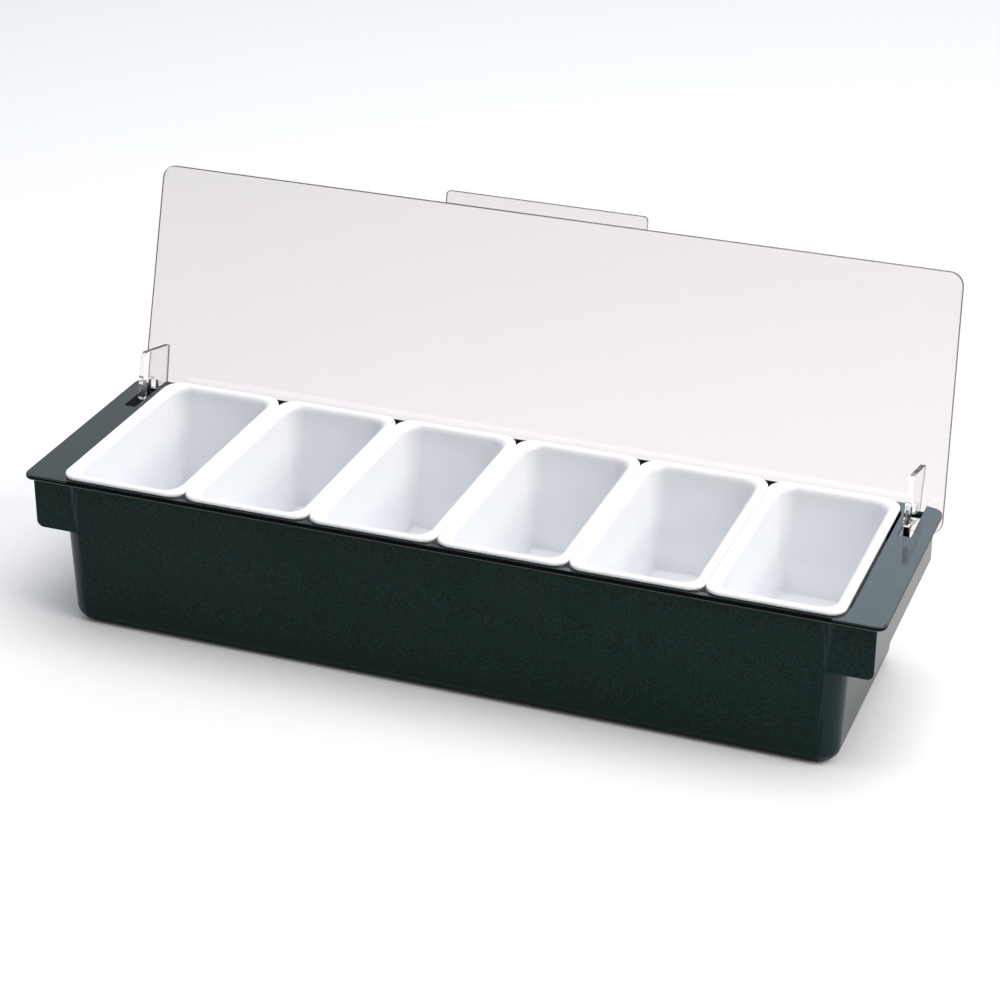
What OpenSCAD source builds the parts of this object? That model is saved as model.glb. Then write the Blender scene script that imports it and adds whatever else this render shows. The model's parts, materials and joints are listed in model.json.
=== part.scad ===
// Condiment caddy: one moulded tray with a grip ledge at each end, six lift-out pint inserts,
// and one clear lid whose two ears snap onto bars moulded across the hinge slots.
// Millimetres. Base of the tray at z = 0, front at -Y, right-hand end at +X.
// The lid is drawn at rest standing open against its stops.

/* [Tray] */
// length over the two grip ledges
tray_length = 500;  // [480:1:540]
// front to back over the lip
tray_width = 145;  // [140:0.5:160]
// base to the top of the lip
tray_height = 93.5;  // [88:0.5:110]
// wall of the tub
tub_wall = 2.5;  // [2:0.1:3]
// floor of the tub
tub_floor = 2.8;  // [2:0.1:4]
// draft of the tub walls, degrees
tub_draft = 2;  // [1:0.1:3]
// thickness of the lip and ledges
lip_thickness = 3.2;  // [2.5:0.1:4]
// how far the lip stands out from the tub, front and back
lip_overhang = 2.5;  // [2:0.1:4]
// width of the flat ledge at each end
ledge_width = 21.5;  // [20.5:0.1:26]
// upright corners of the tub, at the lip
tub_corner_r = 14;  // [12:0.5:18]
// edge round the base of the tub
tub_bottom_r = 9;  // [5:0.5:10]
// front corners of the lip
lip_front_r = 5.5;  // [4:0.5:9]
// back corners of the lip
lip_back_r = 8;  // [6:0.5:9]

/* [Grips] */
// depth of the skirt that hangs below each ledge
grip_depth = 31;  // [28:0.1:36]
// wall of the skirt
grip_wall = 2.5;  // [2:0.1:3]
// how far the ledge stands out past the skirt at the end
grip_end_inset = 4.8;  // [3:0.1:6]
// how far the front and back of the skirt stand in from the tub face
grip_face_inset = 1.3;  // [1:0.1:3]
// lower corners of the skirt
grip_corner_r = 4;  // [2:0.5:8]

/* [Hinge] */
// middle of each slot, in from the end of the ledge
slot_inset = 14;  // [13.8:0.1:14.4]
// width of the slot
slot_width = 7.2;  // [6.8:0.1:7.4]
// length of the slot, in from the back edge
slot_length = 40.5;  // [40:0.5:50]
// bar moulded across each slot
bar_diameter = 4;  // [3.5:0.1:4.5]
// middle of the bar, in from the back edge
bar_inset = 4.5;  // [4.3:0.1:5]
// middle of the bar, below the ledge
bar_drop = 4;  // [3.8:0.1:4.4]
// radial running clearance of the lid's eyes on the bars
eye_clearance = 0.08;  // [0.02:0.01:0.1]
// how far the cheeks beside each slot reach below the ledge: they stop the lid
cheek_depth = 14.2;  // [13.5:0.1:15.5]
// thickness of a cheek
cheek_width = 3.2;  // [2.5:0.1:3.5]
// gap left between the open lid and the cheeks
stop_clearance = 0.3;  // [0.2:0.05:0.5]

/* [Inserts] */
// gap between one rim and the next
rim_gap = 0.5;  // [0.4:0.1:1]
// gap between the end rims and the ledges
rim_end_gap = 1.5;  // [1:0.1:3]
// how far the rims lap over the lip, front and back
rim_lap = 2.65;  // [2:0.05:3]
// gap under the rims
rim_seat_gap = 0.3;  // [0.2:0.05:0.4]
// thickness of the rims
rim_thickness = 2.3;  // [2:0.1:2.4]
// corners of the rims
rim_corner_r = 11;  // [10:0.5:14]
// width of the rim at the two long sides
rim_side = 6.3;  // [5:0.1:8]
// width of the rim at the two short sides
rim_end = 5.4;  // [5:0.1:7]
// soft inner edge of the rim
rim_inner_r = 2.2;  // [1:0.1:2.2]
// depth inside, from the top of the rim
insert_depth = 66;  // [55:0.5:70]
// wall of an insert
insert_wall = 1.8;  // [1.5:0.1:2]
// floor of an insert
insert_floor = 2;  // [1.5:0.1:3]
// draft of the insert walls, degrees
insert_draft = 3.2;  // [2:0.1:4]
// corners of the hollow, at the rim
hollow_corner_r = 9;  // [8:0.5:12]
// edge round the floor of the hollow
hollow_bottom_r = 3.5;  // [2:0.5:4]
// height of the shallow step inside, above the floor
step_height = 22;  // [15:0.5:30]
// how far the wall steps in below it
step_in = 0.5;  // [0.3:0.1:0.8]

/* [Lid] */
// how far each end of the lid's front edge stands in from the end of the tray
lid_front_inset = 6.5;  // [4:0.1:10]
// how far each end of the lid's hinged edge stands in from the end of the tray
lid_rear_inset = 0.5;  // [0:0.1:4]
// how far the front edge of the closed lid stands back from the front of the lip
lid_front_setback = 4.2;  // [1:0.1:6]
// thickness of the panel
lid_thickness = 2.5;  // [2:0.1:3]
// gap between the closed lid and the rims
lid_gap = 0.4;  // [0.3:0.1:0.8]
// how far the closed lid stands out behind the tray
lid_rear_overhang = 7.5;  // [6.5:0.1:8]
// corners of the lid
lid_corner_r = 8;  // [6:0.5:12]
// length of the lifting tab along the front edge
tab_length = 123;  // [100:1:140]
// how far the tab stands out
tab_depth = 7.5;  // [6:0.5:9]
// thickness of the tab
tab_thickness = 1.5;  // [1.2:0.1:1.8]
// outer corners of the tab
tab_corner_r = 3;  // [1:0.5:5]
// middle of each ear, in from the end of the ledge
ear_inset = 15.7;  // [15.6:0.05:15.8]
// thickness of an ear
ear_thickness = 3;  // [2.5:0.1:3.2]
// length of an ear, forward of the bar
ear_length = 27;  // [25:0.1:27.5]
// lowest point of an ear, below the bar
ear_drop = 26;  // [25:0.1:26.5]
// lower front corner of an ear
ear_corner_r = 4.5;  // [4:0.5:8]
// how far the tip of an ear reaches behind the bar
ear_tip = 2.2;  // [1:0.1:3]
// material round the bore of each eye
eye_wall = 2.1;  // [2:0.1:2.6]
// top of the notch that lets the bar in, below the bar
notch_top = 9.5;  // [8.5:0.1:10]
// height of the notch
notch_height = 11;  // [9:0.1:11.5]
// depth of the notch, forward of the bar
notch_depth = 11;  // [9:0.1:12]
// channel from the notch up to the mouth, wider than the bar by this
channel_clearance = 0.6;  // [0.4:0.1:1]
// mouth through which the bar snaps up into the eye
mouth_width = 3.4;  // [3:0.1:3.8]
// height of the two lips beside the mouth
mouth_lip = 1.2;  // [1:0.1:1.6]

/* [Hidden] */
$fn = 64;

// tray
half_l = tray_length / 2;
half_w = tray_width / 2;
well_l = half_l - ledge_width;
well_w = half_w - lip_overhang - tub_wall;
tub_l = well_l + tub_wall;
tub_w = well_w + tub_wall;
under_lip = tray_height - lip_thickness;
well_corner_r = tub_corner_r - tub_wall;
well_bottom_r = tub_bottom_r - tub_wall;

// grips
grip_x = half_l - grip_end_inset;
grip_y = tub_w - grip_face_inset;
grip_z = under_lip - grip_depth;

// hinge
slot_x = half_l - slot_inset;
bar_r = bar_diameter / 2;
bore_r = bar_r + eye_clearance;
eye_r = bore_r + eye_wall;
pivot_y = half_w - bar_inset;
pivot_z = tray_height - bar_drop;

// inserts
insert_pitch = (2 * well_l - 2 * rim_end_gap + rim_gap) / 6;
rim_l = (insert_pitch - rim_gap) / 2;
rim_w = well_w + rim_lap;
rim_z = tray_height + rim_seat_gap;
rim_top = rim_z + rim_thickness;
hollow_l = rim_l - rim_side;
hollow_w = rim_w - rim_end;

// lid: heights and lengths from the middle of the bar, as seen with the lid closed
lid_under = rim_top + lid_gap - pivot_z;
lid_rear = bar_inset + lid_rear_overhang;
lid_front = lid_front_setback - half_w - pivot_y;
ear_x = half_l - ear_inset;
tab_root = 3;
// the cheeks' lower back corners meet the underside of the lid at this angle
cheek_low = cheek_depth - bar_drop;
cheek_reach = sqrt(bar_inset * bar_inset + cheek_low * cheek_low);
open_angle = atan2(cheek_low, bar_inset) + asin((lid_under - stop_clearance) / cheek_reach);

// Half-section of a drafted wall: x runs out from the axis of the corner, radius r at height h,
// leaning in by the draft towards the floor, with a round of radius b where it meets the floor.
module wall_section(r, h, draft, b) {
    lean = tan(draft);
    c = r - (h - b) * lean - b / cos(draft);
    t = [c + b * cos(draft), b - b * sin(draft)];
    union() {
        polygon([[0, 0], [c, 0], t, [r, h], [0, h]]);
        intersection() {
            translate([c, b]) circle(r = b);
            polygon([[c, 0], [c + 2 * b, 0], t, [c, b]]);
        }
    }
}

// A section swept round a rounded rectangle of half-length l, half-width w and corner radius r,
// and the middle filled up to height h.
module swept(l, w, r, h) {
    for (a = [0 : 3]) {
        s = a % 2 == 0 ? [l, w] : [w, l];
        rotate([0, 0, 90 * a]) {
            translate([s[0] - r, s[1] - r, 0])
                rotate_extrude(angle = 90) children();
            translate([s[0] - r, 0, 0])
                rotate([90, 0, 0])
                linear_extrude(2 * (s[1] - r), center = true) children();
        }
    }
    translate([r - l, r - w, 0]) cube([2 * (l - r), 2 * (w - r), h]);
}

// A flat plate with rounded upright corners: radius f at the front, b at the back.
module plate(l, w, f, b, t) {
    linear_extrude(t) {
        difference() {
            square([2 * l, 2 * w], center = true);
            for (m = [-1, 1]) {
                scale([m, 1]) {
                    translate([l - f, -w - 1]) square([f + 1, f + 1]);
                    translate([l - b, w - b]) square([b + 1, b + 1]);
                }
            }
        }
        for (m = [-1, 1]) {
            scale([m, 1]) {
                translate([l - f, f - w]) circle(r = f);
                translate([l - b, w - b]) circle(r = b);
            }
        }
    }
}

// Side of the skirt seen from the front, with its outer lower corner rounded.
module grip_outline(x0, x1) {
    difference() {
        translate([x0, 0]) square([x1 - x0, grip_depth + lip_thickness / 2]);
        translate([x1 - grip_corner_r, -1]) square([grip_corner_r + 1, grip_corner_r + 1]);
    }
    translate([x1 - grip_corner_r, grip_corner_r]) circle(r = grip_corner_r);
}

// What stands outside the tub at the +X end, under the lip.
module grip_end() {
    inner_x = tub_l - tub_corner_r;
    // the skirt: front, end and back walls, open underneath, slotted at the back for the ear
    difference() {
        translate([0, grip_y, grip_z])
            rotate([90, 0, 0])
            linear_extrude(2 * grip_y) grip_outline(inner_x, grip_x);
        translate([inner_x - 1, grip_wall - grip_y, grip_z - 1])
            cube([grip_x - grip_wall - inner_x + 1, 2 * (grip_y - grip_wall), grip_depth + 1]);
        translate([slot_x - slot_width / 2, 0, grip_z - 1])
            cube([slot_width, half_w, grip_depth + lip_thickness]);
    }
    // a cheek each side of the slot, flush with the back edge of the lip
    intersection() {
        for (s = [-1, 1])
            translate([slot_x + s * (slot_width + cheek_width) / 2 - cheek_width / 2,
                       pivot_y - eye_r, tray_height - cheek_depth])
                cube([cheek_width, half_w - pivot_y + eye_r, cheek_depth - lip_thickness / 2]);
        plate(half_l, half_w, lip_front_r, lip_back_r, tray_height);
    }
    // the bar that the lid's eye turns on
    translate([slot_x - slot_width / 2 - cheek_width / 2, pivot_y, pivot_z])
        rotate([0, 90, 0]) cylinder(r = bar_r, h = slot_width + cheek_width);
}

module tray() {
    brim = under_lip + lip_thickness / 2;
    spare = tan(tub_draft);
    color([0.055, 0.09, 0.085])
    difference() {
        union() {
            swept(tub_l, tub_w, tub_corner_r, brim)
                wall_section(tub_corner_r, brim, tub_draft, tub_bottom_r);
            // the lip and ledges, slotted at each end
            difference() {
                translate([0, 0, under_lip])
                    plate(half_l, half_w, lip_front_r, lip_back_r, lip_thickness);
                for (m = [-1, 1])
                    translate([m * slot_x - slot_width / 2, half_w - slot_length, under_lip - 1])
                        cube([slot_width, slot_length + 1, lip_thickness + 2]);
            }
            grip_end();
            mirror([1, 0, 0]) grip_end();
        }
        // the well that holds the inserts, with room for ice under them
        translate([0, 0, tub_floor])
            swept(well_l + spare, well_w + spare, well_corner_r + spare, tray_height - tub_floor + 1)
            wall_section(well_corner_r + spare, tray_height - tub_floor + 1, tub_draft, well_bottom_r);
    }
}

// Half-section of the rim: a flat band with a full round at its outer edge.
module rim_section() {
    translate([0, 0]) square([rim_corner_r - rim_thickness / 2, rim_thickness]);
    translate([rim_corner_r - rim_thickness / 2, rim_thickness / 2])
        intersection() {
            circle(r = rim_thickness / 2);
            translate([0, -rim_thickness]) square(2 * rim_thickness);
        }
}

// Half-section of the hollow: drafted wall with a shallow step, round at the floor, soft at the rim.
module hollow_section() {
    lean = tan(insert_draft);
    r = hollow_corner_r;
    h = insert_depth - rim_inner_r;
    b = hollow_bottom_r;
    c = r - step_in - (h - b) * lean - b / cos(insert_draft);
    t = [c + b * cos(insert_draft), b - b * sin(insert_draft)];
    difference() {
        polygon([
            [0, 0], [c, 0], t,
            [r - step_in - (h - step_height) * lean, step_height],
            [r - (h - step_height) * lean, step_height],
            [r, h], [r + rim_inner_r, h], [r + rim_inner_r, insert_depth + 1], [0, insert_depth + 1]
        ]);
        translate([r + rim_inner_r, h]) circle(r = rim_inner_r);
    }
    intersection() {
        translate([c, b]) circle(r = b);
        polygon([[c, 0], [c + 2 * b, 0], t, [c, b]]);
    }
}

// Insert number i, counted from the left.
module insert(i) {
    wall_h = insert_depth + insert_floor - rim_thickness / 2;
    color([0.93, 0.94, 0.94])
    translate([(i - 3.5) * insert_pitch, 0, rim_top - insert_depth - insert_floor])
    difference() {
        union() {
            swept(hollow_l + insert_wall, hollow_w + insert_wall, hollow_corner_r + insert_wall, wall_h)
                wall_section(hollow_corner_r + insert_wall, wall_h, insert_draft,
                             hollow_bottom_r + insert_wall);
            translate([0, 0, insert_depth + insert_floor - rim_thickness])
                swept(rim_l, rim_w, rim_corner_r, rim_thickness) rim_section();
        }
        translate([0, 0, insert_floor])
            swept(hollow_l, hollow_w, hollow_corner_r, insert_depth + 1) hollow_section();
    }
}

module insert_1() { insert(1); }
module insert_2() { insert(2); }
module insert_3() { insert(3); }
module insert_4() { insert(4); }
module insert_5() { insert(5); }
module insert_6() { insert(6); }

// Side of an ear with the lid closed, about the middle of the bar: rearwards is to the right.
module ear_outline() {
    root = lid_under + lid_thickness / 2;
    notch_low = notch_top + notch_height;
    notch_r = notch_height / 2;
    channel = bar_diameter + channel_clearance;
    tip_r = (ear_drop - notch_low) / 2;
    tip_u = ear_tip - tip_r;
    difference() {
        union() {
            // web under the panel, down to the front corner
            translate([-ear_length, ear_corner_r - ear_drop])
                square([ear_length + tip_u, ear_drop - ear_corner_r + root]);
            translate([ear_corner_r - ear_length, -ear_drop])
                square([ear_length - ear_corner_r + tip_u, 2 * ear_corner_r]);
            translate([ear_corner_r - ear_length, ear_corner_r - ear_drop])
                circle(r = ear_corner_r);
            // rounded tip
            translate([tip_u, tip_r - ear_drop]) circle(r = tip_r);
            // eye round the bar, and the leg behind the channel
            translate([tip_u - 1, -notch_top - 1])
                square([eye_r - tip_u + 1, notch_top + 1 + root]);
        }
        // the notch that lets the bar in from behind
        translate([notch_r - notch_depth, -notch_low]) square([notch_depth + eye_r, notch_height]);
        translate([notch_r - notch_depth, notch_r - notch_low]) circle(r = notch_r);
        // the bore, the mouth through which the bar snaps, and the channel up to it
        circle(r = bore_r);
        translate([-mouth_width / 2, -eye_r]) square([mouth_width, eye_r]);
        translate([-channel / 2, -notch_top - 1]) square([channel, notch_top + 1 - bore_r - mouth_lip]);
    }
}

// The panel from above: straight ends that draw in towards the front, all corners rounded.
// Half-length f at the front edge y0, b at the rear edge y1.
module panel_outline(f, b, y0, y1, r) {
    k = (b - f) / (y1 - y0);
    n = sqrt(1 + k * k);
    c0 = f + k * r - r * n;
    c1 = b - k * r - r * n;
    for (m = [-1, 1]) {
        scale([m, 1]) {
            polygon([
                [-1, y0], [c0, y0], [c0 + r / n, y0 + r - r * k / n],
                [c1 + r / n, y1 - r - r * k / n], [c1, y1], [-1, y1]
            ]);
            translate([c0, y0 + r]) circle(r = r);
            translate([c1, y1 - r]) circle(r = r);
        }
    }
}

module lid() {
    color([0.93, 0.915, 0.92, 0.3])
    translate([0, pivot_y, pivot_z])
        rotate([-open_angle, 0, 0]) {
            // the flat panel
            translate([0, 0, lid_under])
                linear_extrude(lid_thickness)
                panel_outline(half_l - lid_front_inset, half_l - lid_rear_inset,
                              lid_front, lid_rear, lid_corner_r);
            // the lifting tab, level with the outer face
            translate([0, lid_front + (tab_root - tab_depth) / 2,
                       lid_under + lid_thickness - tab_thickness])
                plate(tab_length / 2, (tab_depth + tab_root) / 2, tab_corner_r, tab_root / 3,
                      tab_thickness);
            // the two ears
            for (m = [-1, 1])
                translate([m * ear_x - ear_thickness / 2, 0, 0])
                    rotate([90, 0, 90])
                    linear_extrude(ear_thickness) ear_outline();
        }
}

tray();
insert_1();
insert_2();
insert_3();
insert_4();
insert_5();
insert_6();
lid();
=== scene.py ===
# %% [markdown]
# # A condiment caddy for a bar top
# A long tray moulded in dark ABS holds a row of white lift-out cups over a space for ice.
# One clear lid turns on two short bars moulded into the back corners of the tray.
# The engineering model sets every size and every joint. It is loaded first, and each finished
# piece made here stands exactly where one of its solids stands.

# %% Load the engineering frame
import bmesh
import bpy
import json
import math
from mathutils import Matrix, Vector

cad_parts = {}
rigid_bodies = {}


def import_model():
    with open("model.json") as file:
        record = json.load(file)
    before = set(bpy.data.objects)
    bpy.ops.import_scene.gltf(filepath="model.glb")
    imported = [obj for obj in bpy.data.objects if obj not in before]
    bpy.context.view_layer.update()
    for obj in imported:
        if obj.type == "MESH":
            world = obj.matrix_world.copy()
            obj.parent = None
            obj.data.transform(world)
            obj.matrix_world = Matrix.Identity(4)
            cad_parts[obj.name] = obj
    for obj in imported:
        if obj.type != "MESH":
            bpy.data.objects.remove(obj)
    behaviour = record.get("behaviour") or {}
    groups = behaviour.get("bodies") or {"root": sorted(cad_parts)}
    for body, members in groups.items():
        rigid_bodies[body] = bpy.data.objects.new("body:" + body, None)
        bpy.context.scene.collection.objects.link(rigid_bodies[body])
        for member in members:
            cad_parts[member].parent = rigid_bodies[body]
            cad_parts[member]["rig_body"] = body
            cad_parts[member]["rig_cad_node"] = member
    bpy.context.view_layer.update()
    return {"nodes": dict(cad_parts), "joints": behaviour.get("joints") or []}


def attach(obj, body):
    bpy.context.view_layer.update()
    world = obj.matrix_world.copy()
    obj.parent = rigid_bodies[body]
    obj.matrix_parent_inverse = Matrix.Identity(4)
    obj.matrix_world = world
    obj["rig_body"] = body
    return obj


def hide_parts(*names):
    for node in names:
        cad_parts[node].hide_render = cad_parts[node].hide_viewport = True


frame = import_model()

# %% [markdown]
# ## Measures
# Blender works in metres and a moulder works in millimetres, so one factor turns the one into
# the other. Every size of the caddy below is in millimetres and is one that it is moulded to.
# Z is measured from the surface that the tray stands on. The bars that the lid turns on lie
# near the back edge of the tray, along X, and the sizes of the lid count from their line.

# %% Millimetres and the hinge line
MM = 0.001
PIVOT = Vector((0, 68, 89.5))
print("hinge line:", PIVOT.y, "mm behind the middle and", PIVOT.z, "mm up")

# %% [markdown]
# ## Working by hand, in code
# At the screen a modeller clicks a face and presses a key. A script has to choose the face by
# where it lies or which way it points. These few helpers do only that: they clear the old
# selection, add a box between two corners, and pick faces or edges that pass a test. Every
# change of shape is then one of Blender's own operators.

# %% Helpers for choosing and shaping
def clear_selection():
    """Leaves edit mode and deselects every object."""
    if bpy.context.object and bpy.context.object.mode != "OBJECT":
        bpy.ops.object.mode_set(mode="OBJECT")
    bpy.ops.object.select_all(action="DESELECT")


def make_active(piece):
    """Selects one object and makes it the one that operators work on."""
    clear_selection()
    piece.select_set(True)
    bpy.context.view_layer.objects.active = piece


def add_box(name, low, high):
    """A cube primitive between two corners in millimetres, its place kept in its mesh."""
    clear_selection()
    low, high = Vector(low) * MM, Vector(high) * MM
    bpy.ops.mesh.primitive_cube_add(size=1, location=(low + high) / 2, scale=high - low)
    box = bpy.context.object
    box.name = name
    bpy.ops.object.transform_apply(location=True, rotation=True, scale=True)
    return box


def pick(piece, kind, test):
    """In edit mode, selects the faces, edges or vertices that pass the test, and counts them."""
    make_active(piece)
    bpy.ops.object.mode_set(mode="EDIT")
    bpy.ops.mesh.select_mode(type=kind)
    bpy.ops.mesh.select_all(action="DESELECT")
    mesh = bmesh.from_edit_mesh(piece.data)
    parts = {"FACE": mesh.faces, "EDGE": mesh.edges, "VERT": mesh.verts}[kind]
    chosen = [part for part in parts if test(part)]
    for part in chosen:
        part.select_set(True)
    bmesh.update_edit_mesh(piece.data)
    return len(chosen)


def ends(edge):
    """The two ends of an edge, in millimetres."""
    return [v.co / MM for v in edge.verts]


def near(value, target, by=0.02):
    """True where two measures are the same, give or take a little."""
    return abs(value - target) < by


def at_height(z):
    """A test for edges that lie flat at one height."""
    return lambda edge: all(near(p.z, z) for p in ends(edge))


def runs_along(axis):
    """A test for edges that run mostly along one axis: 0 is X, 1 is Y and 2 is Z."""
    return lambda edge: abs((edge.verts[1].co - edge.verts[0].co).normalized()[axis]) > 0.9


def round_off(piece, test, radius, steps):
    """Bevels the edges that pass the test to a round of that radius."""
    found = pick(piece, "EDGE", test)
    bpy.ops.mesh.bevel(offset=radius * MM, segments=steps, affect="EDGES", clamp_overlap=False)
    bpy.ops.object.mode_set(mode="OBJECT")
    return found


# %% [markdown]
# ## Joining, cutting and shading
# Two more helpers finish the set. One adds or cuts with a second solid, by the Boolean
# modifier. The other shades a finished piece: moulded rounds have to look round and moulded
# flats have to stay flat, so the normals are smoothed by angle and then weighted by face.

# %% Helpers for joining and shading
def combine(piece, other, operation):
    """Adds or cuts with another solid by the Boolean modifier, and then drops the other."""
    make_active(piece)
    step = piece.modifiers.new(operation.title(), "BOOLEAN")
    step.operation, step.solver, step.object = operation, "EXACT", other
    bpy.ops.object.modifier_apply(modifier=step.name)
    bpy.data.objects.remove(other, do_unlink=True)


def smooth(piece, angle=32):
    """Shades rounds softly and keeps flats flat, as light falls on a moulded surface."""
    make_active(piece)
    bpy.ops.object.shade_smooth_by_angle(angle=math.radians(angle))
    even = piece.modifiers.new("Even normals", "WEIGHTED_NORMAL")
    even.keep_sharp = True
    bpy.ops.object.modifier_apply(modifier=even.name)
    print(piece.name, len(piece.data.vertices), "vertices", len(piece.data.polygons), "faces")


# %% [markdown]
# ## The tray
# The tray is one moulding: a tub, a flat lip that widens into a ledge at each end, a skirt
# below each ledge for the fingers, and a slot with a bar across it for each ear of the lid.
# Its engineering solid already has that form, but with edges as sharp as a knife, which no
# mould gives. So a copy of it is merged into one skin, its flat faces are made whole again,
# and then each family of edges gets the round that a mould maker would cut there. The lip's
# edges get the largest, because the hand meets them and they catch the light. Two cuts part
# the narrow lip from the ledges first, because between the ledges parts of it get painted
# shade later.

# %% Copy the solid and make its faces whole
def merged_copy(node, name):
    """A copy of an engineering solid with its loose triangles joined into one skin."""
    make_active(frame["nodes"][node])
    bpy.ops.object.duplicate(linked=False)
    piece = bpy.context.object
    piece.name = piece.data.name = name
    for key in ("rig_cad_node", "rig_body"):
        piece.pop(key, None)
    piece.parent = None
    bpy.ops.mesh.customdata_custom_splitnormals_clear()
    pick(piece, "VERT", lambda v: True)
    bpy.ops.mesh.remove_doubles(threshold=0.001 * MM)
    bpy.ops.mesh.mark_sharp(clear=True)
    bpy.ops.mesh.dissolve_limited(angle_limit=math.radians(0.2))
    bpy.ops.object.mode_set(mode="OBJECT")
    return piece


tray = merged_copy("tray", "tray_moulding")
print("tray faces once merged:", len(tray.data.polygons))

# %% Cut the narrow lip from the ledges
# The narrow lip ends at ledge. The outer outline lies beyond outside_x or beyond outside_y.
LIP = dict(top=93.5, low=90.3, ledge=222, outside_x=241.9, outside_y=64)


def on_top(face):
    """True on the flat top of the lip and the ledges."""
    return face.normal.z > 0.999 and near(face.calc_center_median().z / MM, LIP["top"])


for x in (-LIP["ledge"], LIP["ledge"]):
    print("flat faces cut:", pick(tray, "FACE", on_top))
    bpy.ops.mesh.bisect(plane_co=(x * MM, 0, 0), plane_no=(1, 0, 0))
    bpy.ops.object.mode_set(mode="OBJECT")

# %% Round the edges of the lip and the skirts
SLOT = dict(x=236, half=3.6)
ROUND = dict(upper=0.9, lower=1.1, other=0.35)


def outline(edge):
    """True on the outer outline of the lip, away from the mouths of the slots."""
    first, last = ends(edge)
    outside = all(abs(p.x) > LIP["outside_x"] or abs(p.y) > LIP["outside_y"] for p in (first, last))
    in_slot = any(near(abs(p.x), SLOT["x"], SLOT["half"] + 0.01) and p.y > 0 for p in (first, last))
    return near(first.z, last.z) and outside and not in_slot


def sharp(edge):
    """True where two faces meet at a clear angle, outside corners only."""
    return len(edge.link_faces) == 2 and edge.calc_face_angle_signed(0) > math.radians(40)


for height, radius in ((LIP["top"], ROUND["upper"]), (LIP["low"], ROUND["lower"])):
    print("edges rounded at", height, "mm:", round_off(
        tray, lambda e: sharp(e) and outline(e) and at_height(height)(e), radius, steps=4))

# %% Round the remaining sharp edges
print("other edges:", round_off(tray, sharp, ROUND["other"], steps=2))
smooth(tray)
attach(tray, "tray")
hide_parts("tray")

# %% [markdown]
# ## The cups
# All the cups come out of one mould, so one is modelled and the rest are copies of it. A cup
# is three skins: the outside of its body, a narrow band that is the edge of its rim, and the
# hollow. The corners of the hollow are wide at the rim, where a spoon sweeps round them, and
# tight at the floor. A bevel keeps one radius all the way down, so each skin is made as two
# rounded sheets with the same number of points, and the walls are bridged between them.

# %% Sizes of a cup
CUP = dict(half_x=37.8, half_y=70.15, wall=1.8, bottom=2)
RIM = dict(low=93.8, top=96.1, front_corner=9, back_corner=11, edge=1.4, low_edge=0.4)
HOLLOW = dict(half_x=31.325, half_y=64.75, floor=30.1, corner=10.5, draft=3.2, mouth=3.9)
FOOT = dict(corner=2.4, round=0.9)
CORNER_STEPS = 10
deep = RIM["top"] - HOLLOW["floor"]
print("a cup:", 2 * CUP["half_x"], "by", 2 * CUP["half_y"], "mm and", round(deep, 1), "mm deep")

# %% Rounded sheets bridged into a skin
def rounded_sheet(name, half_x, half_y, z, corner):
    """A flat sheet with round corners: a plane whose four corner points are bevelled."""
    clear_selection()
    bpy.ops.mesh.primitive_plane_add(size=2, location=(0, 0, z * MM))
    sheet = bpy.context.object
    sheet.name, sheet.scale = name, (half_x * MM, half_y * MM, 1)
    bpy.ops.object.transform_apply(location=True, rotation=True, scale=True)
    pick(sheet, "VERT", lambda v: True)
    bpy.ops.mesh.bevel(
        offset=corner * MM, segments=CORNER_STEPS, affect="VERTICES", clamp_overlap=False
    )
    bpy.ops.object.mode_set(mode="OBJECT")
    return sheet


def without(piece, test, keep_edges=False):
    """Deletes the faces that pass the test, which opens the piece."""
    pick(piece, "FACE", test)
    bpy.ops.mesh.delete(type="ONLY_FACE" if keep_edges else "FACE")
    bpy.ops.object.mode_set(mode="OBJECT")


def tub_skin(name, upper, lower, foot):
    """An open tub: two sheets, each (half x, half y, height, corner), with walls between them."""
    skin = rounded_sheet(name, *lower)
    top = rounded_sheet("mouth", *upper)
    without(top, lambda f: True, keep_edges=True)
    make_active(skin)
    top.select_set(True)
    bpy.ops.object.join()
    pick(skin, "EDGE", lambda e: len(e.link_faces) < 2)
    bpy.ops.mesh.bridge_edge_loops()
    bpy.ops.object.mode_set(mode="OBJECT")
    print(name, "foot edges:", round_off(skin, at_height(lower[2]), foot, steps=5))
    return skin


def leaned(half, drop):
    """A half width further down a wall that leans in by the draft of the cups."""
    return half - drop * math.tan(math.radians(HOLLOW["draft"]))


# %% The hollow and the body
wall = CUP["wall"]
under_floor = HOLLOW["floor"] - CUP["bottom"]
tall = RIM["low"] - under_floor
hollow = tub_skin(
    "hollow",
    (HOLLOW["half_x"], HOLLOW["half_y"], RIM["top"], HOLLOW["corner"]),
    (leaned(HOLLOW["half_x"], deep), leaned(HOLLOW["half_y"], deep), HOLLOW["floor"], FOOT["corner"]),
    FOOT["round"],
)
body = tub_skin(
    "condiment_cup_1",
    (HOLLOW["half_x"] + wall, HOLLOW["half_y"] + wall, RIM["low"], HOLLOW["corner"] + wall),
    (leaned(HOLLOW["half_x"], tall) + wall, leaned(HOLLOW["half_y"], tall) + wall, under_floor,
     FOOT["corner"] + wall),
    FOOT["round"] + wall,
)
pick(body, "FACE", lambda f: True)
bpy.ops.mesh.flip_normals()
bpy.ops.object.mode_set(mode="OBJECT")

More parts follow.
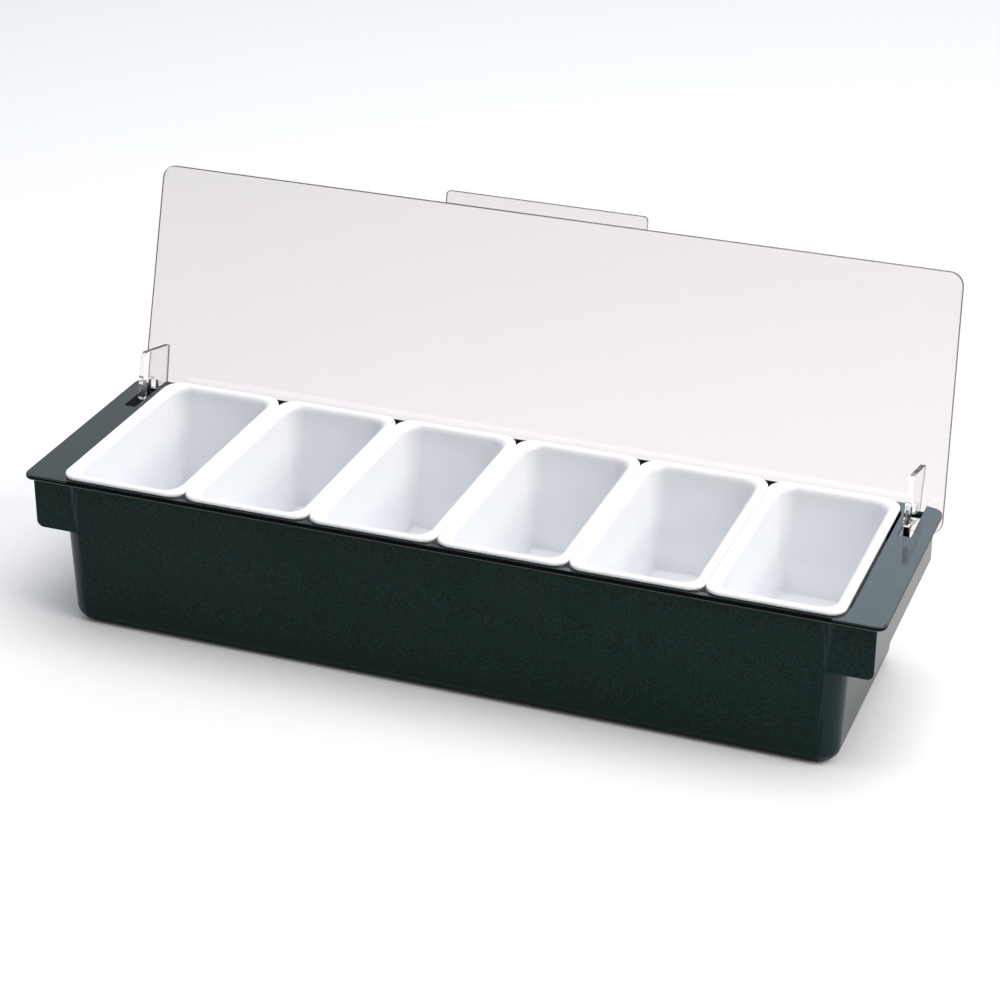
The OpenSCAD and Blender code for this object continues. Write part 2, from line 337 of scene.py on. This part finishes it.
# %% The band
half_x, half_y = CUP["half_x"], CUP["half_y"]
band = add_box("band", (-half_x, -half_y, RIM["low"]), (half_x, half_y, RIM["top"]))
for side, corner in ((-1, RIM["front_corner"]), (1, RIM["back_corner"])):
    round_off(band, lambda e: runs_along(2)(e) and e.verts[0].co.y * side > 0, corner, CORNER_STEPS)
round_off(band, at_height(RIM["top"]), RIM["edge"], steps=5)
round_off(band, at_height(RIM["low"]), RIM["low_edge"], steps=2)
without(band, lambda f: abs(f.normal.z) > 0.999)
print("band:", len(band.data.polygons), "faces")

# %% [markdown]
# ## The step in the hollow
# About a third of the way up, the wall of a cup steps in by 0.7 mm all round. It is too shallow
# to feel but it draws a fine line of shade. Two level cuts with bisect add the edges, and
# everything from the lower one down is then drawn in.

# %% Cut the step and draw in the foot of the hollow
# Here half_x and half_y are those of the hollow at the height of the step.
STEP = dict(rise=22, height=1.2, inset=0.7, half_x=29, half_y=62)
for rise in (STEP["rise"], STEP["rise"] - STEP["height"]):
    pick(hollow, "FACE", lambda f: True)
    bpy.ops.mesh.bisect(plane_co=(0, 0, (HOLLOW["floor"] + rise) * MM), plane_no=(0, 0, 1))
    bpy.ops.object.mode_set(mode="OBJECT")
step_z = HOLLOW["floor"] + STEP["rise"] - STEP["height"] / 2
print("points drawn in:", pick(hollow, "VERT", lambda v: v.co.z / MM < step_z))
bpy.ops.transform.resize(
    value=(1 - STEP["inset"] / STEP["half_x"], 1 - STEP["inset"] / STEP["half_y"], 1),
    center_override=(0, 0, step_z * MM),
)
bpy.ops.object.mode_set(mode="OBJECT")

# %% Bridge the three skins into one cup
make_active(body)
band.select_set(True)
hollow.select_set(True)
bpy.ops.object.join()
for height in (RIM["low"], RIM["top"]):
    found = pick(body, "EDGE", lambda e: len(e.link_faces) == 1 and at_height(height)(e))
    bpy.ops.mesh.bridge_edge_loops()
    bpy.ops.object.mode_set(mode="OBJECT")
    print("edges bridged:", found)


def mouth(edge):
    """True on the line where the flat rim turns down into the hollow."""
    half_x, half_y = HOLLOW["half_x"] + 0.05, HOLLOW["half_y"] + 0.05
    inside = all(abs(p.x) < half_x and abs(p.y) < half_y for p in ends(edge))
    return inside and at_height(RIM["top"])(edge)


print("soft inner edge:", round_off(body, mouth, HOLLOW["mouth"], steps=8))
smooth(body, angle=40)

# %% Copy the cup along the well
COUNT, PITCH = 6, 75.75


def moved_copy(piece, name, x):
    """A copy with its own mesh, moved along X with its place kept in the mesh."""
    make_active(piece)
    bpy.ops.object.duplicate(linked=False)
    copy = bpy.context.object
    copy.name = copy.data.name = name
    bpy.ops.transform.translate(value=(x * MM, 0, 0))
    bpy.ops.object.transform_apply(location=True, rotation=True, scale=True)
    return copy


cups = []
for number in range(1, COUNT + 1):
    cup = moved_copy(body, f"cup_{number}", (number - (COUNT + 1) / 2) * PITCH)
    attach(cup, f"insert_{number}")
    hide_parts(f"insert_{number}")
    cups.append(cup)
bpy.data.objects.remove(body, do_unlink=True)
print("cups:", [cup.name for cup in cups])

# %% [markdown]
# ## The lid
# The lid is moulded in one piece in clear styrene: a flat panel, a thin tab to lift it by, and
# two ears with an open eye that snaps over the hinge bar. It is easiest to model lying shut,
# with the hinge line as zero, and to swing it open at the end. The panel is a box whose front
# is drawn in. The tab is pushed out of the panel's own front face, so that no seam is left
# between them, which in a clear part would show as a line.

# %% Panel
LID = dict(front=-136.3, rear=12, half_front=243.5, half_rear=249.5, under=7, thick=2.5, corner=8)
panel_low = PIVOT.z + LID["under"]
panel_top = panel_low + LID["thick"]
front, rear = PIVOT.y + LID["front"], PIVOT.y + LID["rear"]
lid = add_box(
    "clear_lid", (-LID["half_rear"], front, panel_low), (LID["half_rear"], rear, panel_top)
)
pick(lid, "FACE", lambda f: f.normal.y < -0.9)
bpy.ops.transform.resize(
    value=(LID["half_front"] / LID["half_rear"], 1, 1), center_override=(0, front * MM, 0)
)
print("corners:", round_off(lid, runs_along(2), LID["corner"], CORNER_STEPS))

# %% Tab, pushed out of the front face
TAB = dict(half=61.5, out=7.5, thick=1.5, corner=3)


def cut_front(point, normal):
    """Cuts only the front face of the panel across one plane."""
    pick(lid, "FACE", lambda f: f.normal.y < -0.999)
    bpy.ops.mesh.bisect(plane_co=Vector(point) * MM, plane_no=normal)
    bpy.ops.object.mode_set(mode="OBJECT")


tab_low = panel_top - TAB["thick"]
cut_front((-TAB["half"], 0, 0), (1, 0, 0))
cut_front((TAB["half"], 0, 0), (1, 0, 0))
cut_front((0, 0, tab_low), (0, 0, 1))


def is_tab(face):
    """True on the part of the front face between the three cuts."""
    middle = face.calc_center_median() / MM
    return near(middle.y, front) and abs(middle.x) < 1 and middle.z > tab_low


print("faces pushed out:", pick(lid, "FACE", is_tab))
bpy.ops.mesh.extrude_region_move(TRANSFORM_OT_translate={"value": (0, -TAB["out"] * MM, 0)})
bpy.ops.object.mode_set(mode="OBJECT")
print("corners of the tab:", round_off(
    lid, lambda e: runs_along(2)(e) and near(ends(e)[0].y, front - TAB["out"]), TAB["corner"], steps=6))

# %% [markdown]
# ## Polished edges
# A clear panel shows itself mostly by its edges: a small round there bends the light and draws
# the line that the eye reads as plastic. The outline of both broad faces gets that round before
# the ears are added.

# %% Soften the outline of the panel
def rim_line(edge):
    """True where a broad face of the panel meets its outer side."""
    ups = sorted(abs(f.normal.z) for f in edge.link_faces)
    return len(ups) == 2 and ups[0] < 0.05 and ups[1] > 0.95


print("underside outline:", round_off(
    lid, lambda e: rim_line(e) and at_height(panel_low)(e), radius=0.9, steps=4))
print("other outlines:", round_off(
    lid, lambda e: rim_line(e) and not at_height(panel_low)(e), radius=0.5, steps=3))

# %% [markdown]
# ## Ears with their eyes
# An ear is a plate 3 mm thick. Its foot is rounded and trimmed, a deep notch leaves a finger
# below the eye, and the eye itself is a bore with a mouth under it, a little narrower than the
# bar, that snaps on. Each box below is given by its reach behind the hinge line and above it.

# %% Sizes of an ear
EAR = dict(x=234.3, half=1.5, plate=((-27, 4.18), (-26, 8.25)), bore=2.08)
TRIM = ((2.2, 9), (-30, -15))
NOTCH = ((-11, 9), (-20.5, -9.5))
SNAP = (((-2.3, 2.3), (-12, -3.28)), ((-1.7, 1.7), (-4, 0)))
CUT_HALF = 3
print("an ear is", 2 * EAR["half"], "mm thick and its eye", 2 * EAR["bore"], "mm across")


def at_hinge(x, u, v):
    """A point near an ear: u is behind the bar and v is above it, in millimetres."""
    return Vector((x, PIVOT.y + u, PIVOT.z + v))


def slab(name, x, half, reach):
    """A box across the place of an ear, with its reach behind and above the hinge line."""
    (front_u, back_u), (low_v, high_v) = reach
    return add_box(name, at_hinge(x - half, front_u, low_v), at_hinge(x + half, back_u, high_v))


def cylinder_x(name, x, radius, length):
    """A cylinder primitive that lies along the hinge line."""
    clear_selection()
    bpy.ops.mesh.primitive_cylinder_add(
        vertices=48, radius=radius * MM, depth=length * MM,
        location=at_hinge(x, 0, 0) * MM, rotation=(0, math.pi / 2, 0),
    )
    bpy.ops.object.transform_apply(location=True, rotation=True, scale=True)
    bpy.context.object.name = name
    return bpy.context.object


def ahead(edge):
    """True on an edge along X that lies more than 8 mm in front of the hinge line."""
    return runs_along(0)(edge) and ends(edge)[0].y < PIVOT.y - 8


# %% Cut the ears and join them to the panel
def ear(side):
    """One ear: side is 1 at the right and -1 at the left."""
    x = side * EAR["x"]
    plate = slab("ear", x, EAR["half"], EAR["plate"])
    foot, trimmed = PIVOT.z + EAR["plate"][1][0], PIVOT.y + TRIM[0][0]
    round_off(plate, lambda e: ahead(e) and near(ends(e)[0].z, foot), radius=4.5, steps=8)
    combine(plate, slab("trim", x, CUT_HALF, TRIM), "DIFFERENCE")
    notch = slab("notch", x, CUT_HALF, NOTCH)
    round_off(notch, ahead, radius=5.4, steps=10)
    combine(plate, notch, "DIFFERENCE")
    round_off(plate, lambda e: runs_along(0)(e) and all(near(p.y, trimmed) for p in ends(e)),
              radius=2.6, steps=6)
    for reach in SNAP:
        combine(plate, slab("gap", x, CUT_HALF, reach), "DIFFERENCE")
    combine(plate, cylinder_x("bore", x, EAR["bore"], 2 * CUT_HALF), "DIFFERENCE")
    return plate


for side in (1, -1):
    combine(lid, ear(side), "UNION")
print("faces of the lid with its ears:", len(lid.data.polygons))

# %% [markdown]
# ## Marks of the mould
# The plastic enters a clear panel at its middle and pins push the cooled part out of the mould.
# Both leave round marks, a tenth or two of a millimetre deep. They are sunk in the underside,
# which faces forward while the lid is open, and show only as faint rings.

# %% Sink the marks of the gate and the pins
# Each mark is given by its X, its place behind the hinge line and its radius.
MARKS = ((0, -62, 1.4), (217, -127, 3), (-224.5, -14, 3), (239.5, -15, 2.2))


def sink(x, u, radius, deep=0.15):
    """A round recess in the underside of the panel, cut by the top of a 2 mm tall cylinder."""
    clear_selection()
    bpy.ops.mesh.primitive_cylinder_add(
        vertices=32, radius=radius * MM, depth=2 * MM,
        location=at_hinge(x, u, LID["under"] + deep - 1) * MM,
    )
    bpy.ops.object.transform_apply(location=True, rotation=True, scale=True)
    combine(lid, bpy.context.object, "DIFFERENCE")


for x, u, radius in MARKS:
    sink(x, u, radius)
print("marks:", len(MARKS))
smooth(lid)

# %% [markdown]
# ## Swinging the lid open
# At rest the lid stands open against its stops, so the finished mesh is turned about the hinge
# line by the whole travel of the joint. The turn goes into the mesh and the object stays at the
# origin, as every piece of this scene does.

# %% Open the lid about the hinge line
hinge = next(j for j in frame["joints"] if j["name"] == "lid_hinge")
open_angle = math.radians(hinge["range_deg"][1] - hinge["range_deg"][0])
make_active(lid)
bpy.ops.object.mode_set(mode="EDIT")
bpy.ops.mesh.select_all(action="SELECT")
bpy.ops.transform.rotate(value=open_angle, orient_axis="X", center_override=PIVOT * MM)
bpy.ops.object.mode_set(mode="OBJECT")
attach(lid, "lid")
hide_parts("lid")

# %% [markdown]
# ## Materials
# A colour that is picked on a screen is an sRGB value, and the renderer works with linear
# light, so one function turns a hex code into linear numbers. A second small function adds a
# node, sets it up and links it, and a third starts a new material. Patterns are laid out in
# Object coordinates, which are metres here, so the scale of a noise is one divided by the size
# of its grain. Sockets that share a name go by number: on a mix node 6 and 7 take its two
# colours, and output 2 gives the mixed one.

# %% Helpers for materials
def linear(code):
    """The linear RGBA of an sRGB hex code."""
    parts = [int(code[i:i + 2], 16) / 255 for i in (1, 3, 5)]
    return [c / 12.92 if c <= 0.04045 else ((c + 0.055) / 1.055) ** 2.4 for c in parts] + [1]


def add_node(tree, kind, inputs=None, **settings):
    """Adds a node, sets it up, and gives each named input a value or a link."""
    made = tree.nodes.new(kind)
    for key, value in settings.items():
        setattr(made, key, value)
    for socket, value in (inputs or {}).items():
        if isinstance(value, bpy.types.NodeSocket):
            tree.links.new(value, made.inputs[socket])
        else:
            made.inputs[socket].default_value = value
    return made


def new_material(name):
    """A node material with only its output, and its Object coordinates in metres."""
    material = bpy.data.materials.new(name)
    material.use_nodes = True
    tree = material.node_tree
    tree.nodes.clear()
    metres = add_node(tree, "ShaderNodeTexCoord").outputs["Object"]
    return material, tree, metres, add_node(tree, "ShaderNodeOutputMaterial")


print("the middle grey of a screen is", round(linear("#808080")[0], 3), "in linear light")

# %% [markdown]
# ## Grained black ABS
# The outside of the tray is ABS from a mould whose steel was etched to a fine leather-like
# grain. The grain scatters the gloss, so the plastic looks soft and dark. Its pale flecks, where a
# facet would face the light, are painted highlights: a paler colour laid at random by the grain.
# The real grain is about 0.3 mm, too fine to show here, so it is drawn at 1.1 mm.

# %% Grained ABS
grained, tree, metres, output = new_material("moulded_abs_grained")
grain = add_node(tree, "ShaderNodeTexNoise", {
    "Vector": metres, "Scale": 1 / (1.1 * MM), "Detail": 3, "Roughness": 0.6})
cloud = add_node(tree, "ShaderNodeTexNoise", {"Vector": metres, "Scale": 1 / (45 * MM), "Detail": 2})
# Pale flecks in the colour, laid at random by the grain: painted highlights of facets in the light.
painted_glint_flecks = add_node(tree, "ShaderNodeMapRange", {
    "Value": grain.outputs["Fac"], "From Min": 0.35, "From Max": 0.75})
colour = add_node(tree, "ShaderNodeMix", {
    "Factor": painted_glint_flecks.outputs["Result"], 6: linear("#051311"), 7: linear("#103430")}, data_type="RGBA")
rough = add_node(tree, "ShaderNodeMapRange", {
    "Value": cloud.outputs["Fac"], "From Min": 0.3, "From Max": 0.7, "To Min": 0.44, "To Max": 0.54})
bump = add_node(tree, "ShaderNodeBump", {
    "Height": grain.outputs["Fac"], "Strength": 0.35, "Distance": 0.08 * MM})
shader = add_node(tree, "ShaderNodeBsdfPrincipled", {
    "Base Color": colour.outputs[2], "Roughness": rough.outputs["Result"],
    "Normal": bump.outputs["Normal"], "IOR": 1.53, "Specular IOR Level": 0.1})
tree.links.new(shader.outputs["BSDF"], output.inputs["Surface"])
print(grained.name, "has", len(tree.nodes), "nodes")

# %% [markdown]
# ## Polished ABS
# The ledges and the ice space are the same plastic, but the mould is polished there, so that
# they wipe clean. They mirror the room, which turns the black into slate. Nothing moulded is
# truly flat: a slow wave of 30 mm and a faint scuffing of the gloss break up the reflection.

# %% Polished ABS
polished, tree, metres, output = new_material("moulded_abs_polished")
wave = add_node(tree, "ShaderNodeTexNoise", {"Vector": metres, "Scale": 1 / (30 * MM), "Detail": 1})
scuff = add_node(tree, "ShaderNodeTexNoise", {
    "Vector": metres, "Scale": 1 / (2.5 * MM), "Detail": 4, "Roughness": 0.65})
rough = add_node(tree, "ShaderNodeMapRange", {
    "Value": scuff.outputs["Fac"], "From Min": 0.3, "From Max": 0.7, "To Min": 0.04, "To Max": 0.08})
bump = add_node(tree, "ShaderNodeBump", {
    "Height": wave.outputs["Fac"], "Strength": 0.3, "Distance": 0.6 * MM})
colour = add_node(tree, "ShaderNodeMix", {
    "Factor": scuff.outputs["Fac"], 6: linear("#12211F"), 7: linear("#182B2A")}, data_type="RGBA")
shader = add_node(tree, "ShaderNodeBsdfPrincipled", {
    "Base Color": colour.outputs[2], "Roughness": rough.outputs["Result"],
    "Normal": bump.outputs["Normal"], "IOR": 1.53})
tree.links.new(shader.outputs["BSDF"], output.inputs["Surface"])
print(polished.name, "has", len(tree.nodes), "nodes")

# %% [markdown]
# ## Painted shade and satin ABS
# The same plastic gets two more materials. The first is painted shade: a near-black, matt ABS
# that sends back almost no light. It goes on the edge of the lip, so that it draws a black
# line along the tray, and between the ledges. The two ends come from steel that was only
# stoned: a satin, dark when it is seen straight on and pale when it is seen along its face.
# One function makes both.

# %% Painted shade and satin ABS
def plain_abs(name, dark, pale, roughness, gloss):
    """Ungrained black ABS with a faint mottle: gloss is its Specular IOR Level."""
    material, tree, metres, output = new_material(name)
    mottle = add_node(tree, "ShaderNodeTexNoise", {"Vector": metres, "Scale": 1 / (2 * MM), "Detail": 3})
    colour = add_node(tree, "ShaderNodeMix", {
        "Factor": mottle.outputs["Fac"], 6: linear(dark), 7: linear(pale)}, data_type="RGBA")
    shader = add_node(tree, "ShaderNodeBsdfPrincipled", {
        "Base Color": colour.outputs[2], "Roughness": roughness, "IOR": 1.53,
        "Specular IOR Level": gloss})
    tree.links.new(shader.outputs["BSDF"], output.inputs["Surface"])
    return material


# Near-black and matt: painted shade for the edge of the lip and between the ledges.
matt = plain_abs("moulded_abs_painted_shade", "#030605", "#060C0B", roughness=0.6, gloss=0.03)
satin = plain_abs("moulded_abs_stoned", "#031A1C", "#07272A", roughness=0.25, gloss=0.18)
print("plain finishes:", matt.name, "and", satin.name)

# %% [markdown]
# ## White polypropylene
# The cups are polypropylene, loaded with white pigment and moulded against smooth steel. It is
# a soft, waxy plastic: bright, with a broad low gloss and no sparkle. A very slight clouding in
# the colour and in the gloss keeps it from looking like paper.

# %% White polypropylene
white, tree, metres, output = new_material("moulded_polypropylene_white")
cloud = add_node(tree, "ShaderNodeTexNoise", {"Vector": metres, "Scale": 1 / (18 * MM), "Detail": 2})
fine = add_node(tree, "ShaderNodeTexNoise", {"Vector": metres, "Scale": 1 / (1.2 * MM), "Detail": 2})
colour = add_node(tree, "ShaderNodeMix", {
    "Factor": cloud.outputs["Fac"], 6: linear("#EFF2F6"), 7: linear("#F3F5F8")}, data_type="RGBA")
rough = add_node(tree, "ShaderNodeMapRange", {
    "Value": fine.outputs["Fac"], "From Min": 0.3, "From Max": 0.7, "To Min": 0.3, "To Max": 0.36})
bump = add_node(tree, "ShaderNodeBump", {
    "Height": fine.outputs["Fac"], "Strength": 0.08, "Distance": 0.05 * MM})
shader = add_node(tree, "ShaderNodeBsdfPrincipled", {
    "Base Color": colour.outputs[2], "Roughness": rough.outputs["Result"],
    "Normal": bump.outputs["Normal"], "IOR": 1.49, "Subsurface Weight": 0.5,
    "Subsurface Radius": (1, 1, 1), "Subsurface Scale": 3 * MM})
tree.links.new(shader.outputs["BSDF"], output.inputs["Surface"])
print(white.name, "has", len(tree.nodes), "nodes")

# %% [markdown]
# ## Clear styrene
# The lid is clear styrene, moulded against polished steel. Light goes straight through it, a
# little greyer and warmer than before. Light that comes out at an edge has run a long way
# inside the panel, so the edges look brown; here that brown edge is painted shade, a dark tint
# on the edge faces. One function makes the plastic and is called with three tints: one for the
# panel, a dark one for its edges, and a paler one for the small ears, which is painted light
# that makes them read brighter. A glass-like shader casts a hard dark shadow, so light on its
# way from a lamp passes straight through the panel instead. A slow wave keeps the panel from
# looking like a sheet of nothing.

# %% Clear styrene
def clear_styrene(name, tint):
    """Clear styrene of one tint. Each face that light passes tints it by the root of the tint."""
    material, tree, metres, output = new_material(name)
    wave = add_node(tree, "ShaderNodeTexNoise", {"Vector": metres, "Scale": 1 / (60 * MM), "Detail": 1})
    bump = add_node(tree, "ShaderNodeBump", {
        "Height": wave.outputs["Fac"], "Strength": 0.2, "Distance": 0.3 * MM})
    shader = add_node(tree, "ShaderNodeBsdfPrincipled", {
        "Base Color": linear(tint), "Roughness": 0.02, "Normal": bump.outputs["Normal"],
        "IOR": 1.55, "Transmission Weight": 1.0})
    passing = add_node(tree, "ShaderNodeBsdfTransparent", {"Color": linear("#F1EEEF")})
    rays = add_node(tree, "ShaderNodeLightPath")
    both = add_node(tree, "ShaderNodeMixShader", {
        0: rays.outputs["Is Shadow Ray"], 1: shader.outputs["BSDF"], 2: passing.outputs["BSDF"]})
    tree.links.new(both.outputs["Shader"], output.inputs["Surface"])
    return material


clear = clear_styrene("moulded_styrene_clear", "#EDE8E7")
# A paler tint: painted light that makes the small ears read brighter than the panel.
painted_ear_light = clear_styrene("moulded_styrene_painted_ear_light", "#F8F5F4")
# A dark brown tint: painted shade for the edges of the panel.
painted_edge_shade = clear_styrene("moulded_styrene_painted_edge_shade", "#3E2D25")
print("materials:", [material.name for material in bpy.data.materials])

# %% [markdown]
# ## Putting the materials on
# A piece gets a slot for each of its materials, and the faces that differ from the rest are
# picked by their place and their direction and then assigned. The tray is polished on the
# ledges, on the flat of the lip at the front and inside the ice space, and satin on its two
# ends. The upright edge of the lip gets painted shade, a near-black matt that draws a black
# line. Between the ledges the round above that edge and the whole lip at the back get the same
# painted shade, which darkens the gaps between the cups. On the lid the edges get a dark tint of
# painted shade and the ears a paler tint of painted light: its faces are measured as if the lid
# were turned back shut, where the panel lies level.

# %% Put the materials on
def paint(piece, *materials):
    """Gives a piece its materials, the first of them all over."""
    piece.data.materials.clear()
    for material in materials:
        piece.data.materials.append(material)
    for face in piece.data.polygons:
        face.material_index = 0


def assign(piece, material, test):
    """Gives the faces that pass the test one of the materials of the piece."""
    found = pick(piece, "FACE", test)
    piece.active_material_index = piece.data.materials.find(material.name)
    bpy.ops.object.material_slot_assign()
    bpy.ops.object.mode_set(mode="OBJECT")
    return found


paint(tray, grained, polished, matt, satin)
paint(lid, clear, painted_edge_shade, painted_ear_light)
for cup in cups:
    paint(cup, white)
print("materials of the tray:", len(tray.data.materials), "and of the lid:", len(lid.data.materials))

# %% Polished, satin and painted-shade faces of the tray
WELL = dict(half_x=228.5, half_y=67.5, floor_below=20)
EDGE = dict(low=LIP["low"] + 0.9, high=LIP["top"] - 0.95, outside=60, front_round=-71.3)
END = dict(from_x=215, turned=0.12)


def outward(face):
    """How far a face lies from the middle, measured along its own level direction."""
    middle = face.calc_center_median() / MM
    return middle.x * face.normal.x + middle.y * face.normal.y


def on_lip(face):
    """True on top of the lip and the ledges, with the rounds that lead down from it."""
    return face.calc_center_median().z / MM > LIP["top"] - 1


def in_well(face):
    """True inside the ice space: the walls that face the middle, and the floor."""
    x, y, z = face.calc_center_median() / MM
    inside = abs(x) < WELL["half_x"] + 0.5 and abs(y) < WELL["half_y"] + 0.5
    on_floor = face.normal.z > 0.3 and z < WELL["floor_below"]
    return inside and (outward(face) < -1 or on_floor)


def painted_shade_lip_edge(face):
    """True on the narrow upright edge of the lip, which gets painted shade."""
    z = face.calc_center_median().z / MM
    upright = abs(face.normal.z) < 0.3
    return upright and EDGE["low"] < z < EDGE["high"] and outward(face) > EDGE["outside"]


def painted_shade_between_ledges(face):
    """True on the upper round of the narrow lip at the front, and on its whole top at the back: painted
    shade goes there.
    """
    x, y, z = face.calc_center_median() / MM
    return abs(x) < LIP["ledge"] - 1 and z > EDGE["high"] and (y > 0 or y < EDGE["front_round"])


def under_lip_edge(face):
    """True on the round below the upright edge."""
    rise = face.calc_center_median().z / MM - LIP["low"]
    return outward(face) > 10 and 0 < rise < ROUND["lower"] and -0.98 < face.normal.z < -0.1


def on_end(face):
    """True on the outer faces of the two ends, with the round corners that lead to them."""
    x, y, z = face.calc_center_median() / MM
    faces_out = x * face.normal.x > END["turned"] * abs(x) and outward(face) > 0
    return abs(x) > END["from_x"] and faces_out and z < LIP["low"]


print("polished on the lip:", assign(tray, polished, on_lip))
print("polished in the well:", assign(tray, polished, in_well))
print("polished under the edge:", assign(tray, polished, under_lip_edge))
print("satin on the ends:", assign(tray, satin, on_end))
# Painted shade: a near-black line along the upright edge of the lip.
print("matt on the edge:", assign(tray, matt, painted_shade_lip_edge))
# Painted shade between the ledges, which darkens the gaps between the cups.
print("matt between the ledges:", assign(tray, matt, painted_shade_between_ledges))

# %% Edges and ears of the lid
shut = Matrix.Rotation(open_angle, 3, "X")


def above_bar(face):
    """The height of a face above the hinge line, with the lid turned back shut."""
    return (shut @ (face.calc_center_median() - PIVOT * MM)).z / MM


def painted_shade_panel_edge(face):
    """True on the outline of the panel and the tab, rounds and all, which gets a dark tint of painted
    shade.
    """
    return above_bar(face) > LID["under"] - 0.1 and abs((shut @ face.normal).z) < 0.97


# The outline gets the dark tint: painted shade.
print("edge faces of the lid:", assign(lid, painted_edge_shade, painted_shade_panel_edge))
# The ears get the paler tint: painted light.
print("faces of the ears:", assign(lid, painted_ear_light, lambda f: above_bar(f) < LID["under"] - 0.1))

# %% Materials of the engineering solids
for node in frame["nodes"].values():
    node.data.materials.clear()
    node.data.materials.append({"tray": grained, "lid": clear}.get(node.name, white))
print("solids painted:", len(frame["nodes"]))

# %% [markdown]
# ## Floor
# A pale floor that runs out of sight in every direction gives a plain ground, and it also
# lights the caddy from below. It is matt paper, with a faint cloudiness from its fibres.

# %% Floor
clear_selection()
bpy.ops.mesh.primitive_plane_add(size=14, location=(0, 0, 0))
floor = bpy.context.object
floor.name = "studio_floor"
bpy.ops.object.transform_apply(location=True, rotation=True, scale=True)
paper, tree, metres, output = new_material("matt_paper_floor")
fibres = add_node(tree, "ShaderNodeTexNoise", {"Vector": metres, "Scale": 1 / (8 * MM), "Detail": 3})
colour = add_node(tree, "ShaderNodeMix", {
    "Factor": fibres.outputs["Fac"], 6: linear("#F0F0F0"), 7: linear("#F3F3F3")}, data_type="RGBA")
shader = add_node(tree, "ShaderNodeBsdfPrincipled", {
    "Base Color": colour.outputs[2], "Roughness": 0.9, "Specular IOR Level": 0.1})
tree.links.new(shader.outputs["BSDF"], output.inputs["Surface"])
paint(floor, paper)
print("floor", floor.dimensions.x, "m square")

# %% [markdown]
# ## Light
# Four softboxes light the caddy. The largest hangs overhead. The one at the upper right looks
# down into the cups, so that their left walls turn white while the walls at the back stay in
# soft shade. A weak one at the left opens the shadows. The last hangs behind the caddy, low
# enough for the polished ledges to mirror it, and its cool tint is what turns them slate. The
# room itself glows most from behind and above and hardly at all from the front and below: that
# keeps the dark front of the tray deep and gives the clear lid its edges. A studio is measured
# in metres, and so are the places and sizes of the lamps and the place of the camera.

# %% Softboxes
def softbox(name, place, target, width, height, watts, tint="#FFFFFF"):
    """A rectangular area light that faces the target."""
    clear_selection()
    bpy.ops.object.light_add(type="AREA", location=place)
    lamp = bpy.context.object
    lamp.name = name
    lamp.data.shape, lamp.data.size, lamp.data.size_y = "RECTANGLE", width, height
    lamp.data.energy, lamp.data.color = watts, linear(tint)[:3]
    aim = Vector(target) - Vector(place)
    lamp.rotation_euler = aim.to_track_quat("-Z", "Y").to_euler()


middle = (0, 0, 0.06)
softbox("overhead", (0.2, 0.1, 2.0), middle, width=1.8, height=1.4, watts=24, tint="#FFFAF5")
softbox("right_side", (1.6, -0.2, 1.25), middle, width=1.2, height=1.0, watts=19.5, tint="#FFF9F2")
softbox("left_side", (-1.6, -0.6, 1.5), middle, width=1.2, height=1.0, watts=5)
softbox("behind", (0.1, 2.4, 1.4), (0, 0, 0.1), width=1.9, height=0.8, watts=8, tint="#D0EEFF")

# %% A room that glows from behind
BRIGHT_SIDE = (0.2, 0.75, 0.63)
world = bpy.data.worlds.new("soft_room")
world.use_nodes = True
tree = world.node_tree
toward = add_node(tree, "ShaderNodeVectorMath", {
    0: add_node(tree, "ShaderNodeTexCoord").outputs["Generated"], 1: BRIGHT_SIDE},
    operation="DOT_PRODUCT").outputs["Value"]
glow = add_node(tree, "ShaderNodeMapRange", {
    "Value": toward, "From Min": -0.2, "From Max": 0.9, "To Min": 0.12, "To Max": 0.94})
tree.nodes["Background"].inputs["Color"].default_value = linear("#ECF1FB")
tree.links.new(glow.outputs["Result"], tree.nodes["Background"].inputs["Strength"])
bpy.context.scene.world = world
bpy.context.scene.view_settings.view_transform = "Standard"
print("glow of the room:", glow.inputs["To Min"].default_value, "to", glow.inputs["To Max"].default_value)

# %% [markdown]
# ## Camera
# The camera stands a metre and a half away, to the right of the front and above it, with a
# long lens, as a catalogue picture of so long a thing is taken.

# %% Camera
STANDS_AT, LOOKS_AT = (0.4799, -1.2584, 0.7663), (0.0129, 0, 0.0903)
ROLL = math.radians(0.29)
clear_selection()
bpy.ops.object.camera_add(location=STANDS_AT)
camera = bpy.context.object
aim = Vector(LOOKS_AT) - camera.location
turn = aim.to_track_quat("-Z", "Y").to_matrix().to_4x4() @ Matrix.Rotation(ROLL, 4, "Z")
camera.rotation_euler = turn.to_euler()
camera.data.sensor_width = 36
camera.data.lens = 96.4
bpy.context.scene.camera = camera
print("camera", round(aim.length, 3), "m from the caddy")
